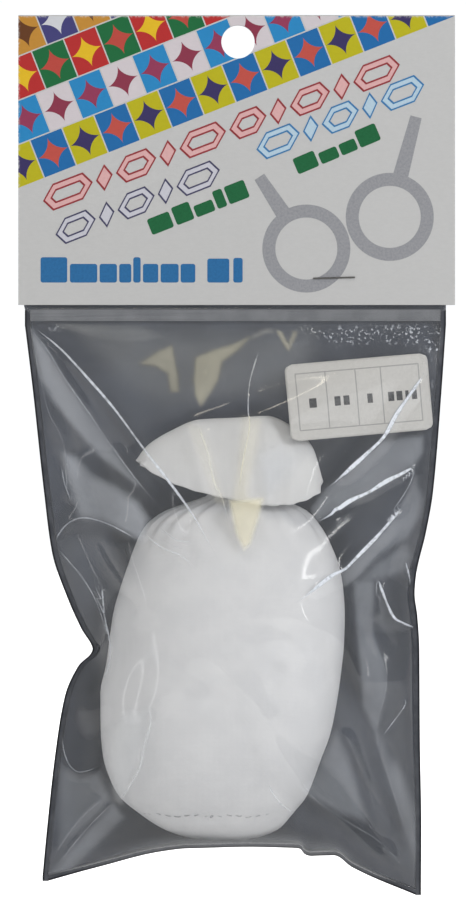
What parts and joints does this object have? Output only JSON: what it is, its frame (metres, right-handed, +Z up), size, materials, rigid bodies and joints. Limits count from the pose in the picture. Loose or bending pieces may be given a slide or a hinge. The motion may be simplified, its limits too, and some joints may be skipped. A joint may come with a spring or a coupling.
{
  "type": "gymnastics chalk pack",
  "caption": "Hanging pack of gymnast's chalk: a tied white cloth sock of crushed chalk in a press-to-close film bag under a folded, stapled header card with a hang hole.",
  "frame": {"origin": "centre of the hang hole, midway between the card's two panels", "axes": "+Z up as the pack hangs, +Y towards the wall behind it, along the hang hole, and +X to the right of someone facing the printed front"},
  "size_m": [0.131, 0.057, 0.2642],
  "materials": {
    "card_board": "satin",
    "staple_wire": "satin",
    "clear_film": "gloss",
    "smoke_film": "gloss",
    "seal_film": "gloss",
    "zip_plastic": "gloss",
    "label_paper": "matte",
    "sock_fabric": "matte",
    "chalk": "matte",
    "tie_cord": "matte",
    "seam_thread": "matte"
  },
  "bodies": {
    "header": {"header_card": "card_board", "staple": "staple_wire", "front_film_lip": "clear_film", "back_film_lip": "smoke_film"},
    "bag": {"front_film": "clear_film", "back_film": "smoke_film", "zip_groove_strip": "zip_plastic", "zip_rib_strip": "zip_plastic", "left_side_seal": "seal_film", "right_side_seal": "seal_film", "bottom_seal": "seal_film", "date_label": "label_paper"},
    "sock": {"sock_cloth": "sock_fabric", "chalk_fill": "chalk", "neck_tie": "tie_cord", "toe_seam": "seam_thread"}
  },
  "joints": [
    {"name": "bag_swing", "type": "hinge", "parent": "header", "child": "bag", "pos_m": [0, 0, -0.0793], "axis": [-1, 0, 0], "range_deg": [-90, 90]},
    {"name": "sock_shift", "type": "slide", "parent": "bag", "child": "sock", "axis": [0, 0, 1], "range_m": [0, 0.006]}
  ]
}
